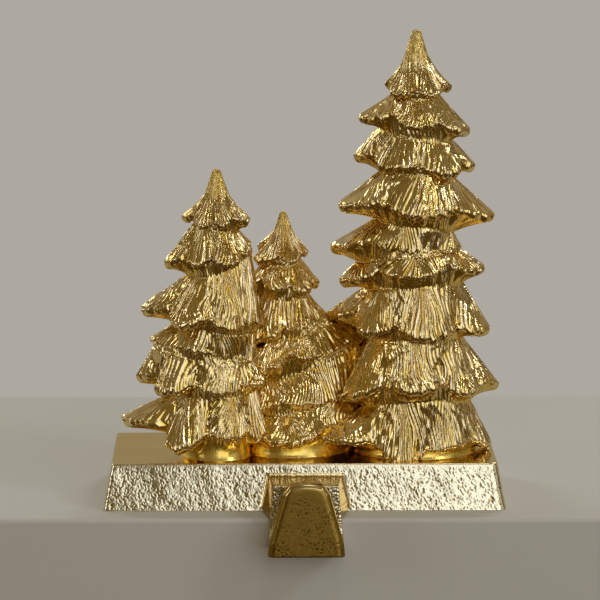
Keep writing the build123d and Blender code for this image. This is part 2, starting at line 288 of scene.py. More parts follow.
def table_noise(table, across, down):
    """Smooth noise in 0..1 from a table of random shares, which repeats in both directions."""
    column = np.floor(across).astype(int)
    row = np.floor(down).astype(int)
    x = eased(across - column)
    y = eased(down - row)
    rows, columns = table.shape
    left = column % columns
    right = (column + 1) % columns
    upper = row % rows
    lower = (row + 1) % rows
    above = table[upper, left] * (1 - x) + table[upper, right] * x
    below = table[lower, left] * (1 - x) + table[lower, right] * x
    return above * (1 - y) + below * y


def row_normals(points):
    """Outward directions at a grid of points whose rows go down and whose columns go right round."""
    down = np.gradient(points, axis=0)
    around = np.roll(points, -1, axis=1) - np.roll(points, 1, axis=1)
    normals = np.cross(down, around)
    return normals / np.maximum(np.linalg.norm(normals, axis=2, keepdims=True), 1e-9)


# Meshes and pieces

def cells(grid):
    """The four corners of each cell of a grid."""
    return np.stack([grid[:-1, :-1], grid[1:, :-1], grid[1:, 1:], grid[:-1, 1:]], axis=2)


def set_ridges(mesh, ridges):
    ridge_shading = mesh.attributes.new("ridge_shading", "FLOAT", "POINT")
    ridge_shading.data.foreach_set("value", ridges.astype(np.float32))


def set_materials(mesh, slots):
    mesh.polygons.foreach_set("material_index", slots.astype(np.int32))


def shade_smooth(mesh):
    mesh.polygons.foreach_set("use_smooth", np.ones(len(mesh.polygons), dtype=bool))
    mesh.update()


class Surface:
    """Points and faces of a piece while it is being made, with each point's ridge height in 0..1 and each
    face corner's place round and down the piece."""

    def __init__(self):
        self.points = []
        self.ridges = []
        self.faces = []
        self.corners = []
        self.count = 0

    def add_points(self, points, ridges):
        first = self.count
        self.points.append(np.reshape(points, (-1, 3)))
        self.ridges.append(np.ravel(ridges))
        self.count += len(self.points[-1])
        return first

    def add_rows(self, points, ridges, around, down):
        """Adds a grid of points with its faces. Returns the indices of its first and last rows."""
        rows, columns = points.shape[:2]
        index = self.add_points(points, ridges) + np.arange(rows * columns).reshape(rows, columns)
        closed = np.append(index, index[:, :1], axis=1)
        v = np.append(down, down[:, :1], axis=1)
        u = np.broadcast_to(np.append(around, 1.0), v.shape)
        self.faces += cells(closed).reshape(-1, 4).tolist()
        self.corners.append(cells(np.stack([u, v], axis=2)).reshape(-1, 2))
        return index[0], index[-1]

    def add_faces(self, faces):
        self.faces += faces
        self.corners.append(np.zeros((sum(len(face) for face in faces), 2)))

    def cap(self, ring, point, ridge_shading=0.5, outward=True):
        """Closes a ring with triangles to one point."""
        tip = self.add_points([point], [ridge_shading])
        pairs = zip(ring.tolist(), np.roll(ring, -1).tolist())
        self.add_faces([(tip, a, b) if outward else (tip, b, a) for a, b in pairs])

    def stitch(self, upper, upper_angles, lower, lower_angles):
        """Joins two rings that have different numbers of points, going round by their angles."""
        turn = 2 * math.pi
        start = upper_angles[0]
        begin = int(np.argmin((lower_angles - start) % turn))
        lower = np.roll(lower, -begin)
        above = np.append((upper_angles - start) % turn, turn)
        below = (np.roll(lower_angles, -begin) - start) % turn
        below = np.append(below, below[0] + turn)
        a = upper.tolist() + [int(upper[0])]
        b = lower.tolist() + [int(lower[0])]
        faces = []
        i = j = 0
        while i < len(upper) or j < len(lower):
            if j == len(lower) or (i < len(upper) and above[i + 1] <= below[j + 1]):
                faces.append((a[i], b[j], a[i + 1]))
                i += 1
            else:
                faces.append((a[i], b[j], b[j + 1]))
                j += 1
        self.add_faces(faces)

    def mesh(self, name):
        mesh = bpy.data.meshes.new(name)
        mesh.from_pydata((np.concatenate(self.points) * MM).tolist(), [], self.faces)
        set_ridges(mesh, np.concatenate(self.ridges))
        places = mesh.uv_layers.new(name="needles")
        places.data.foreach_set("uv", np.concatenate(self.corners).astype(np.float32).ravel())
        shade_smooth(mesh)
        return mesh


def new_object(name, data):
    made = bpy.data.objects.new(name, data)
    bpy.context.collection.objects.link(made)
    return made


def place(name, mesh, *materials):
    """Puts a finished mesh into the scene as a piece of the holder."""
    piece = new_object(name, mesh)
    for material in materials:
        mesh.materials.append(material)
    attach(piece, "root")
    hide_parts(NODE)


# Trees

def tier_depth(tier, angle):
    return np.where(np.sin(angle) > 0, tier.back or tier.front, tier.front)


def tier_reach(tier, angle):
    side = np.where(np.cos(angle) > 0, tier.right, tier.left)
    return side * np.cos(angle) ** 2 + tier_depth(tier, angle) * np.sin(angle) ** 2


def tier_level(tier, angle):
    middle = (tier.left_level + tier.right_level) / 2
    slope = (tier.right_level - tier.left_level) / 2
    towards_front = np.maximum(0.0, -np.sin(angle))
    return middle + slope * np.cos(angle) + (tier.front_level - middle) * towards_front**2


def tier_neck(tier, angle):
    """Radius and level of the neck under a tier."""
    deep = np.maximum(tier.neck, tier_depth(tier, angle) * (1 - FRONT_OVERHANG))
    radius = np.minimum(tier.neck * np.cos(angle) ** 2 + deep * np.sin(angle) ** 2, tier_reach(tier, angle))
    radius = radius + tier.joined * np.maximum(0.0, np.cos(angle)) ** 2
    overhang = np.maximum(0.0, tier_reach(tier, angle) - radius)
    return radius, tier_level(tier, angle) - NECK_DROP - UNDER_SLOPE * overhang


def rolled_share(tier, angle, reach):
    """How fully a tier's rim is rolled, which fades where it hardly stands out over its neck."""
    return np.clip((reach - tier_neck(tier, angle)[0]) / (2 * TIP_SET_IN), LEAST_ROLL, 1)


def branch_tips(tree, index):
    """Angles, reaches and levels of a tier's branch tips, which differ as in the part's source."""
    tier = tree.tiers[index]
    i = np.arange(tier.branches)

    def stray(steps):
        return np.sin(steps[0] * i + steps[1] * index)

    angle = np.radians(tier.turn + 360 * i / tier.branches + BRANCH_SWING * stray(SWING_STEPS))
    reach = tier_reach(tier, angle) * (1 + BRANCH_WANDER * stray(WANDER_STEPS))
    level = tier_level(tier, angle) + BRANCH_SAG * stray(SAG_STEPS)
    if tier is tree.tiers[-1]:
        level[tree.low_branch] -= tree.low_drop
    return angle, reach, level


def rib_rise(tree, index, angle):
    """How far the clumps of needles lift a tier's rim: -0.5 in a groove and about 0.5 on a ridge."""
    column = np.arange(2 * tree.ribs)
    swing = RIB_SWING * np.sin(RIB_SWING_STEPS[0] * column + RIB_SWING_STEPS[1] * index)
    place = math.pi * (column + swing) / tree.ribs
    bold = 1 + RIB_UNEVEN * np.sin(RIB_BOLD_STEPS[0] * column + RIB_BOLD_STEPS[1] * index)
    rise = np.where(column % 2, bold / 2, -0.5)
    turned = (angle - place[0]) % (2 * math.pi)
    return np.interp(turned, np.append(place - place[0], 2 * math.pi), np.append(rise, rise[0]))


class Rim(NamedTuple):
    """Columns round a tier: share of the way round, branch, place across the branch from -1 to 1, angle,
    reach and level at the rim, and angle at the neck above."""

    around: np.ndarray
    branch: np.ndarray
    across: np.ndarray
    angle: np.ndarray
    reach: np.ndarray
    level: np.ndarray
    neck_angle: np.ndarray

    def girth(self):
        return 2 * math.pi * self.reach.mean()

    def needles(self):
        return round(self.girth() / NEEDLE_PITCH)


def tier_rim(tree, index):
    tier = tree.tiers[index]
    tip_angle, tip_reach, tip_level = branch_tips(tree, index)
    columns = round(2 * math.pi * tip_reach.mean() / tree.column_pitch)
    around = np.arange(columns) / columns
    branch = np.floor(around * tier.branches).astype(int)
    across = 2 * (around * tier.branches - branch) - 1
    other = branch + np.where(across < 0, -1, 1)
    wrapped = other % tier.branches
    other_angle = tip_angle[wrapped] + 2 * math.pi * (other // tier.branches)
    notch_angle = (tip_angle[branch] + other_angle) / 2
    notch_neck, _ = tier_neck(tier, notch_angle)
    even_reach = (tip_reach[branch] + tip_reach[wrapped]) / 2
    even_level = (tip_level[branch] + tip_level[wrapped]) / 2
    overhang = np.maximum(0.0, even_reach - notch_neck)
    notch_reach = np.minimum(notch_neck + NOTCH_SHARE * overhang, even_reach)
    notch_level = even_level + NOTCH_RISE * np.minimum(1, overhang / FULL_OVERHANG)
    share = np.abs(across)
    angle = blend(tip_angle[branch], notch_angle, share)
    reach = blend(tip_reach[branch], notch_reach, share**LOBE_BLUNTNESS)
    level = blend(tip_level[branch], notch_level, share**LOBE_DROOP)
    rise = rib_rise(tree, index, angle) * rolled_share(tier, angle, reach)
    reach = reach + RIB_HEIGHT * rise
    level = level - RIB_DROP * rise
    fanned = share - NEEDLE_FAN * np.sin(math.pi * share) / math.pi
    neck_angle = blend(tip_angle[branch], notch_angle, fanned)
    return Rim(around, branch, across, angle, reach, level, neck_angle)


def tuft_noise(around, down, needles, seed):
    """Smooth noise in 0..1 that changes from tuft to tuft."""
    tufts = max(TABLE_LEAST_COLUMNS, needles // TUFT_NEEDLES)
    return table_noise(random_table(seed, TABLE_ROWS, tufts), around * tufts, down / TUFT_LENGTH)


def needle_strokes(around, down, needles, length, seed):
    """Heights of carved needles, 0 in the grooves and up to 1 along their backs. Each needle starts and ends
    in its own place and sways a little."""
    lanes = max(TABLE_LEAST_COLUMNS, needles // LANE_NEEDLES)
    sway = table_noise(random_table(seed, TABLE_ROWS, lanes), around * lanes, down / length)
    drift = tuft_noise(around, down, needles, seed + DRIFT_SEED)
    lane = around * needles + NEEDLE_SWAY * (sway - 0.5) + TUFT_DRIFT * (drift - 0.5)
    column = np.floor(lane).astype(int)
    section = 1 - np.abs(2 * (lane - column) - 1) ** NEEDLE_ROUNDNESS
    column %= needles
    along = down / length + random_table(seed + STROKE_START_SEED, 1, needles)[0][column]
    row = np.floor(along).astype(int)
    heights = random_table(seed + STROKE_HEIGHT_SEED, TABLE_ROWS, needles)
    start = heights[row % TABLE_ROWS, column]
    end = heights[(row + 1) % TABLE_ROWS, column]
    return blend(NEEDLE_LEAST, 1, blend(start, end, eased(along - row))) * section


def leader_profile(tree):
    """Radii and drops below the top, from the leader's rounded tip to the first needles."""
    bend = np.linspace(TIP_FIRST_ROW, 1, TIP_ROWS)[:, None] * math.pi / 2
    length = np.linspace(0, 1, LEADER_ROWS + 1)[1:, None]
    tip_radius = LEADER_TOP_SHARE * np.sin(bend)
    tip_drop = LEADER_TOP_SHARE * (1 - np.cos(bend))
    radius = np.concatenate([tip_radius, blend(LEADER_TOP_SHARE, LEADER_FOOT_SHARE, length)])
    drop = np.concatenate([tip_drop, blend(LEADER_TOP_SHARE, LEADER_BARE_SHARE, length)])
    return tree.leader * radius, tree.leader * drop


def about_axis(tree, radius, angle, height):
    """Points at a radius and an angle about a tree's axis."""
    return np.stack([tree.x + radius * np.cos(angle), tree.y + radius * np.sin(angle), height], axis=-1)


def skirt_rows(tree, index, top, rim, reach, level):
    """Angles, radii and levels down a tier's skirt, shares of the way down, and the skirt's length. The top
    tier's rows start with the leader, where the shares are below 0."""
    bare = LEADER_BARE_SHARE * tree.leader
    if index:
        neck_radius, neck_level = tier_neck(tree.tiers[index - 1], rim.neck_angle)
    else:
        neck_radius = np.full_like(reach, LEADER_FOOT_SHARE * tree.leader)
        neck_level = np.full_like(reach, top - bare)
    length = np.hypot(reach - neck_radius, neck_level - level).mean()
    share = np.linspace(SKIRT_START, 1, round(length / ROW_PITCH))[:, None]
    bell = 0 if index else BELL
    angle = blend(rim.neck_angle, rim.angle, share)
    radius = blend(neck_radius, reach, share - bell * share * (1 - share))
    height = blend(neck_level, level, share)
    if index == 0:
        lead_radius, lead_drop = leader_profile(tree)
        angle = np.concatenate([rim.neck_angle + 0 * lead_drop, angle])
        radius = np.concatenate([lead_radius + 0 * reach, radius])
        height = np.concatenate([top - lead_drop + 0 * reach, height])
        share = np.concatenate([(lead_drop - bare) / length, share])
    return angle, radius, height, share, length


def needle_relief(tree, index, rim, skirt, bend, under, down, full):
    """How far needles and swelling branches lift a tier's points, and the ridge heights there."""
    tier = tree.tiers[index]
    seed = tree.seed + TIER_SEED * index
    needles = rim.needles()
    clumps = max(TABLE_LEAST_COLUMNS, needles // CLUMP_NEEDLES)
    lean = NEEDLE_LEAN * (2 * random_table(seed + LEAN_SEED, 1, tier.branches)[0][rim.branch] - 1)
    around = rim.around + lean * down / rim.girth()
    strokes = needle_strokes(around, down, needles, NEEDLE_LENGTH, seed + NEEDLE_SEED)
    clump = needle_strokes(around, down, clumps, CLUMP_LENGTH, seed + CLUMP_SEED)
    tuft = tuft_noise(around, down, needles, seed + TUFT_SEED)
    worn = blend(TUFT_WORN, 1, eased(np.clip((tuft - TUFT_WORN_END) / TUFT_WORN_SPAN, 0, 1)))
    flush = 1 - full[None]
    start = NECK_NEEDLES if index else LEADER_NEEDLES
    bold_skirt = blend(start, 1, eased(np.clip(skirt / NECK_NEEDLES_SPAN, 0, 1))) + 0 * flush
    bold_skirt = bold_skirt * (1 + np.minimum(0, skirt)).clip(0, 1)
    bold_edge = blend(flush, 1, 1 - EDGE_WEAR * np.sin(bend))
    bold_under = flush + (1 - flush) * UNDER_NEEDLES * (1 - under)
    if tier is tree.tiers[-1]:
        bold_under = bold_under * blend(FOOT_NEEDLES, 1, (1 - under) ** 2)
    bold = np.concatenate([bold_skirt, bold_edge, bold_under])
    spread = np.concatenate([skirt, 1 - bend, 0 * under]).clip(0, 1)
    shingle = SHINGLE * spread * np.sign(rim.across) * rim.across**2
    swell = BRANCH_SWELL * spread * (SWELL_CROWN - np.abs(rim.across) ** SWELL_BLUNTNESS)
    carved = NEEDLE_DEPTH * worn * (strokes - 0.5) + CLUMP_DEPTH * (clump - 0.5) + TUFT_SWELL * (0.5 - tuft)
    # Ridge heights tone the plating: needle backs light as a painted highlight, grooves and faint undersides
    # dark as painted shade.
    ridges = np.clip(RIDGE_NEEDLES * strokes + RIDGE_CLUMPS * clump - RIDGE_SUNK, 0, 1)
    return carved * bold + shingle + swell, ridges * blend(RIDGE_FAINT, 1, bold)


def tier_rows(tree, index, top):
    """Points, ridge heights and distances down the needles of one tier: skirt, rolled edge and underside."""
    tier = tree.tiers[index]
    rim = tier_rim(tree, index)
    needles = rim.needles()
    fray_table = random_table(tree.seed + TIER_SEED * index, 2, needles)
    frayed = table_noise(fray_table, rim.around * needles, 0 * rim.around) - 0.5
    reach = rim.reach + RIM_FRAYED_OUT * frayed
    level = rim.level - RIM_FRAYED_DOWN * frayed
    skirt_angle, skirt_radius, skirt_level, skirt, slant = skirt_rows(tree, index, top, rim, reach, level)

    foot_radius, foot_level = tier_neck(tier, rim.angle)
    if tier is tree.tiers[-1]:
        foot_level = np.maximum(foot_level, TRUNK_SHOW)
    rolled = rolled_share(tier, rim.angle, reach)
    bend = np.linspace(0, math.pi / 2, EDGE_ROWS + 1)[1:, None]
    edge_radius = reach - TIP_SET_IN * rolled * (1 - np.cos(bend))
    edge_level = level - TIP_DROP * rolled * np.sin(bend)

    under = np.linspace(0, 1, UNDER_ROWS + 1)[1:, None]
    under_radius = blend(edge_radius[-1], foot_radius, under)
    full = (rolled - LEAST_ROLL) / (1 - LEAST_ROLL)
    hollow = UNDER_HOLLOW * full * np.sin(math.pi * under)
    under_level = blend(edge_level[-1], foot_level, under) + hollow

    below = np.repeat(rim.angle[None], EDGE_ROWS + UNDER_ROWS, axis=0)
    angle = np.concatenate([skirt_angle, below])
    radius = np.concatenate([skirt_radius, edge_radius, under_radius])
    height = BASE_HEIGHT + np.concatenate([skirt_level, edge_level, under_level])
    points = about_axis(tree, radius, angle, height)

    edge_down = slant + TIP_SET_IN * bend
    under_down = slant + 2 * TIP_SET_IN + UNDER_LENGTH * under
    down = np.broadcast_to(np.concatenate([skirt * slant, edge_down, under_down]), radius.shape)
    relief, ridges = needle_relief(tree, index, rim, skirt, bend, under, down, full)
    return rim, points + row_normals(points) * relief[..., None], ridges, down


def trunk_rows(tree, rim):
    """The short trunk, from the lowest neck into the bar."""
    radius, _ = tier_neck(tree.tiers[-1], rim.angle)
    rings = []
    for height, wider in TRUNK_RINGS:
        level = np.full_like(radius, BASE_HEIGHT + height)
        rings.append(about_axis(tree, radius + wider, rim.angle, level))
    return np.stack(rings)


def tree_mesh(tree):
    """A whole tree. The underside of its lowest tier and its trunk are faces with the second material."""
    surface = Surface()
    top = float(tier_level(tree.tiers[0], 0.0)) + tree.leader
    foot = foot_angles = None
    for index in range(len(tree.tiers)):
        rim, points, ridges, down = tier_rows(tree, index, top)
        if index == len(tree.tiers) - 1:
            trunk = trunk_rows(tree, rim)
            points = np.concatenate([points, trunk])
            ridges = np.concatenate([ridges, np.full(trunk.shape[:2], RIDGE_TRUNK)])
            down = np.concatenate([down, np.repeat(down[-1:], len(trunk), axis=0)])
        head, last = surface.add_rows(points, ridges, rim.around, down)
        end_of_rows = len(surface.faces)
        if index == 0:
            surface.cap(head, (tree.x, tree.y, BASE_HEIGHT + top), ridge_shading=RIDGE_TIP)
        else:
            surface.stitch(foot, foot_angles, head, rim.neck_angle)
        foot = last
        foot_angles = rim.angle
    surface.cap(foot, (tree.x, tree.y, BASE_HEIGHT - TRUNK_EMBED), outward=False)
    mesh = surface.mesh(tree.name)
    slots = np.zeros(len(mesh.polygons))
    slots[end_of_rows - (UNDER_ROWS + len(trunk)) * len(foot) : end_of_rows] = 1
    set_materials(mesh, slots)
    return mesh


# Base bar

BAR_FRONT_COLUMNS = 740
BAR_BACK_COLUMNS = 260
BAR_END_COLUMNS = 140
BAR_CORNER_COLUMNS = 14
BAR_ROWS = 62
BAR_ROUND_ROWS = 5
HAMMER_SLANT = 0.4  # sideways run of the marks for each millimetre up
HAMMER_FACETS = ((0.6, 0.03, 401), (1.7, 0.07, 402), (7.0, 0.24, 403))  # pitch, height and seed of a layer
HAMMER_TABLE_ROWS = 64
HAMMER_PIT_PITCH = 0.58
HAMMER_PIT_DEPTH = 0.12
HAMMER_PIT_START = 0.6  # share of the noise's height above which a pit starts
HAMMER_PIT_SEED = 404
HAMMER_TOP_FADE = 1.5  # height over which the marks fade out under the rounded top edge
HAMMER_FOOT_FADE = 0.6  # height over which they fade towards the bar's foot
HAMMER_FOOT_LEAST = 0.3  # share of them that is left there
HAMMER_RIDGE = 0.8  # ridge height between the pits
HAMMER_PIT_RIDGE = 1.6  # what the deepest pit would take off it, which darkens the pits as painted shade


def bar_outline(half_x, half_y):
    """A rounded rectangle seen from above, from the front right corner anticlockwise."""
    sides = [(1, -1), (1, 1), (-1, 1), (-1, -1)]
    rounds = [BASE_WORN_ROUND, BASE_CORNER_ROUND, BASE_CORNER_ROUND, BASE_CORNER_ROUND]
    counts = [BAR_END_COLUMNS, BAR_BACK_COLUMNS, BAR_END_COLUMNS, BAR_FRONT_COLUMNS]
    centres = [np.array([x * (half_x - r), y * (half_y - r)]) for (x, y), r in zip(sides, rounds)]
    outline = []
    for i in range(4):
        after = (i + 1) % 4
        bend = (np.linspace(0, 1, BAR_CORNER_COLUMNS, endpoint=False) + i - 1) * math.pi / 2
        outline.append(centres[i] + rounds[i] * np.stack([np.cos(bend), np.sin(bend)], axis=1))
        outward = np.array([math.cos(i * math.pi / 2), math.sin(i * math.pi / 2)])
        start = centres[i] + rounds[i] * outward
        end = centres[after] + rounds[after] * outward
        share = np.linspace(0, 1, counts[i], endpoint=False)[:, None]
        outline.append(blend(start, end, share))
    return np.concatenate(outline)


def slanted_noise(around, height, length, pitch, seed):
    """Smooth noise in 0..1 at places round the bar, which has the given length round its foot."""
    columns = round(length / pitch)
    across = around * columns / length + HAMMER_SLANT * height / pitch
    return table_noise(random_table(seed, HAMMER_TABLE_ROWS, columns), across, height / pitch)


def hammer_marks(around, height, length):
    """Heights of the hammered finish at places round the bar, and the pits' share in 0..1."""
    facets = 0
    for pitch, depth, seed in HAMMER_FACETS:
        facets = facets + depth * (slanted_noise(around, height, length, pitch, seed) - 0.5)
    pits = slanted_noise(around, height, length, HAMMER_PIT_PITCH, HAMMER_PIT_SEED)
    pits = np.clip((pits - HAMMER_PIT_START) / (1 - HAMMER_PIT_START), 0, 1)
    return facets - HAMMER_PIT_DEPTH * pits, pits


def bar_mesh():
    """The bar, from its top down. Its top and the rounded edge there are faces with the second material."""
    centre_height = BASE_HEIGHT - BASE_TOP_ROUND
    round_start = centre_height + BASE_TOP_ROUND * math.sin(BASE_DRAFT)
    centre_inset = round_start * math.tan(BASE_DRAFT) + BASE_TOP_ROUND * math.cos(BASE_DRAFT)
    side = np.linspace(0, round_start, BAR_ROWS, endpoint=False)
    bend = np.linspace(BASE_DRAFT, math.pi / 2, BAR_ROUND_ROWS)
    heights = np.concatenate([side, centre_height + BASE_TOP_ROUND * np.sin(bend)])[::-1]
    round_insets = centre_inset - BASE_TOP_ROUND * np.cos(bend)
    insets = np.concatenate([side * math.tan(BASE_DRAFT), round_insets])[::-1]
    rows = []
    for height, inset in zip(heights, insets):
        flat = bar_outline(BASE_WIDTH / 2 - inset, BASE_DEPTH / 2 - inset)
        rows.append(np.column_stack([flat, np.full(len(flat), height)]))
    points = np.stack(rows)
    steps = np.linalg.norm(np.diff(points[-1], axis=0, append=points[-1][:1]), axis=1)
    length = steps.sum()
    distance = np.concatenate([[0], np.cumsum(steps)[:-1]])
    marks, pits = hammer_marks(distance[None], heights[:, None], length)
    fade = np.clip((round_start - heights) / HAMMER_TOP_FADE, 0, 1)[:, None]
    fade = fade * np.clip(heights / HAMMER_FOOT_FADE, HAMMER_FOOT_LEAST, 1)[:, None]
    moved = row_normals(points) * (marks * fade)[..., None]
    moved[-1, :, 2] = 0
    # Pits go darker: painted shade in the hammered pits.
    ridges = np.clip(HAMMER_RIDGE - HAMMER_PIT_RIDGE * pits * fade, 0, 1)
    down = np.broadcast_to((BASE_HEIGHT - heights)[:, None], marks.shape)
    surface = Surface()
    top_ring, foot_ring = surface.add_rows(points + moved, ridges, distance / length, down)
    surface.add_faces([top_ring.tolist(), foot_ring[::-1].tolist()])
    mesh = surface.mesh("base_bar")
    mesh.polygons[-1].use_smooth = False
    mesh.polygons[-2].use_smooth = False
    slots = np.zeros(len(mesh.polygons))
    slots[: (BAR_ROUND_ROWS - 1) * len(top_ring)] = 1
    slots[-2] = 1
    set_materials(mesh, slots)
    return mesh


# Hook

HOOK_VOXEL = 0.34
HOOK_SMOOTHING = 3
FLOOR_LAP = 1.0  # how far the throat's floor reaches into the neck and the lip
BEND_LAP = 0.5  # how far the throat's round corners reach into the walls and the floor
COLLAR_LAP = 2.0  # how far the collar round the shank reaches into the bar
ROUND_STEPS = 6  # flats in the collar and in the lip's front edge
LIP_BACK_ROUND = 0.6
LIP_SIDE_STEPS = 6
LIP_CROWN_STEPS = 8
LIP_SIDE_END = 0.75  # where the lip's side ends below its shoulder, as a share of the shoulder's round
LIP_CROWN_END = 0.55  # where the crown ends beside the shoulder, likewise
LIP_SIDE_DROP = 0.25  # how far the lip's side drops at its top, as a share of the inset
LIP_FACE = LIP_BACK - 1.5  # the lip's face and the edge round it are in front of this
PIT_PITCH = 0.65
PIT_DEPTH = 0.05
PIT_START = 0.2  # noise above which a pit starts
PIT_STEEPNESS = 4.0
PIT_CLUSTER = 5.0
PIT_CROWD = 0.3  # how far that start falls in the clusters and rises between them
PIT_FADE_LEVEL = 6.0  # level above which the pits get fewer
PIT_FADE = 0.02  # rise of the start for each millimetre above that
NECK_FACET_PITCH = 0.9
NECK_FACET_SLOPE = 2.4
NECK_FACET_SHARE = 0.6
NECK_GRAIN_PITCH = 0.5 * NECK_FACET_PITCH
NECK_GRAIN_SHARE = 0.3
NECK_SUNK_SHARE = 0.3
NECK_HAMMER_DEPTH = 0.3
LIP_RIDGE = 0.8  # ridge heights of the lip's face between its pits and of the rest of the hook; the pits go darker as painted shade, and the neck's lumps lighter and dips darker as painted highlight and shade
HOOK_RIDGE = 0.6
ROUGH_FACING = -0.8  # Y part of a normal below which the neck and the lip are roughened
NECK_FACING = -0.7  # Y part below which the neck's faces are hammered and the lip's faces are sandy, except on the crown
LIP_FACING = -0.3
CROWN_HIGHLIGHT_FACING = 0.25  # Z part above which the lip's faces get a smoother finish in a lighter colour, a painted highlight on the crown


def hook_half_width(y, z):
    """Half the hook's width at a place on the side view of its shank, neck and floor."""
    widening = HOOK_BOTTOM_WIDTH - NECK_TOP_WIDTH
    neck = NECK_TOP_WIDTH + widening * (SHANK_TOP - z) / (SHANK_TOP - HOOK_BOTTOM)
    root_spread = (SHANK_ROOT_LOW_WIDTH - SHANK_ROOT_TOP_WIDTH) / (SHANK_TOP - SHANK_UNDERSIDE)
    root = SHANK_ROOT_TOP_WIDTH + root_spread * (SHANK_TOP - z)
    share = min(1.0, max(0.0, (y - NECK_BACK) / (SHANK_BACK - NECK_BACK)))
    return blend(neck, root, share) / 2


def add_loft(points, faces, rings):
    """Adds a closed body through rings of equally many points."""
    first = len(points)
    count = len(rings[0])
    for ring in rings:
        points.extend(ring)
    for r in range(len(rings) - 1):
        for i in range(count):
            j = (i + 1) % count
            a = first + r * count
            faces.append((a + i, a + j, a + count + j, a + count + i))
    last = first + (len(rings) - 1) * count
    faces.append(tuple(range(first + count - 1, first - 1, -1)))
    faces.append(tuple(range(last, last + count)))


def add_block(points, faces, side):
    """Adds a slab across the hook whose side view is a convex outline."""
    ends = [[(end * hook_half_width(y, z), y, z) for y, z in side] for end in (-1, 1)]
    add_loft(points, faces, ends)


def arc(centre, radius, start, end, steps=8):
    angles = [math.radians(start + (end - start) * i / steps) for i in range(steps + 1)]
    return [(centre[0] + radius * math.cos(a), centre[1] + radius * math.sin(a)) for a in angles]


def lip_outline(inset):
    """Front view of the lip, from its lower left corner clockwise, moved in on the sides and at the top."""
    floor_half = hook_half_width(LIP_BACK, THROAT_FLOOR)
    shoulder_half = LIP_SHOULDER_WIDTH / 2
    lean = (floor_half - shoulder_half) / (LIP_SHOULDER - THROAT_FLOOR)
    side_top = LIP_SHOULDER - LIP_SHOULDER_ROUND * LIP_SIDE_END
    half = [(HOOK_BOTTOM_WIDTH / 2 - inset, HOOK_BOTTOM), (floor_half - inset, THROAT_FLOOR)]
    for i in range(1, LIP_SIDE_STEPS + 1):
        z = THROAT_FLOOR + (side_top - THROAT_FLOOR) * i / LIP_SIDE_STEPS
        drop = inset * LIP_SIDE_DROP * i / LIP_SIDE_STEPS
        half.append((floor_half - lean * (z - THROAT_FLOOR) - inset, z - drop))
    arch_rise = LIP_TOP - LIP_SHOULDER
    arch_radius = (shoulder_half**2 + arch_rise**2) / (2 * arch_rise)
    arch_centre = LIP_TOP - arch_radius
    half_angle = math.asin((shoulder_half - LIP_SHOULDER_ROUND * LIP_CROWN_END) / arch_radius)
    crown_radius = arch_radius - inset
    for i in range(LIP_CROWN_STEPS):
        a = half_angle * (1 - i / LIP_CROWN_STEPS)
        half.append((crown_radius * math.sin(a), arch_centre + crown_radius * math.cos(a)))
    return [(-x, z) for x, z in half] + [(0, LIP_TOP - inset)] + half[::-1]


def lip_rings():
    """Rings through the lip from its back to its front, whose edges are rounded over."""
    steps = [(LIP_BACK, LIP_BACK_ROUND), (LIP_BACK - LIP_BACK_ROUND, 0.0)]
    for i in range(ROUND_STEPS + 1):
        a = math.pi / 2 * i / ROUND_STEPS
        steps.append((LIP_FRONT + LIP_EDGE_ROUND * (1 - math.sin(a)), LIP_EDGE_ROUND * (1 - math.cos(a))))
    return [[(x, y, z) for x, z in lip_outline(inset)] for y, inset in steps]


def collar_rings():
    """A flared collar round the shank, against the bar's sloping front."""
    rings = []
    for i in range(ROUND_STEPS + 1):
        away = SHANK_ROOT_FILLET * i / ROUND_STEPS
        wider = SHANK_ROOT_FILLET - math.sqrt(SHANK_ROOT_FILLET**2 - (SHANK_ROOT_FILLET - away) ** 2)
        top = SHANK_TOP + wider
        ring = []
        for side, z in ((-1, SHANK_UNDERSIDE), (-1, top), (1, top), (1, SHANK_UNDERSIDE)):
            y = BASE_FRONT + z * math.tan(BASE_DRAFT) - away
            ring.append((side * (hook_half_width(y, min(z, SHANK_TOP)) + wider), y, z))
        if i == 0:
            rings.append([(x, y + COLLAR_LAP, z) for x, y, z in ring])
        rings.append(ring)
    return rings


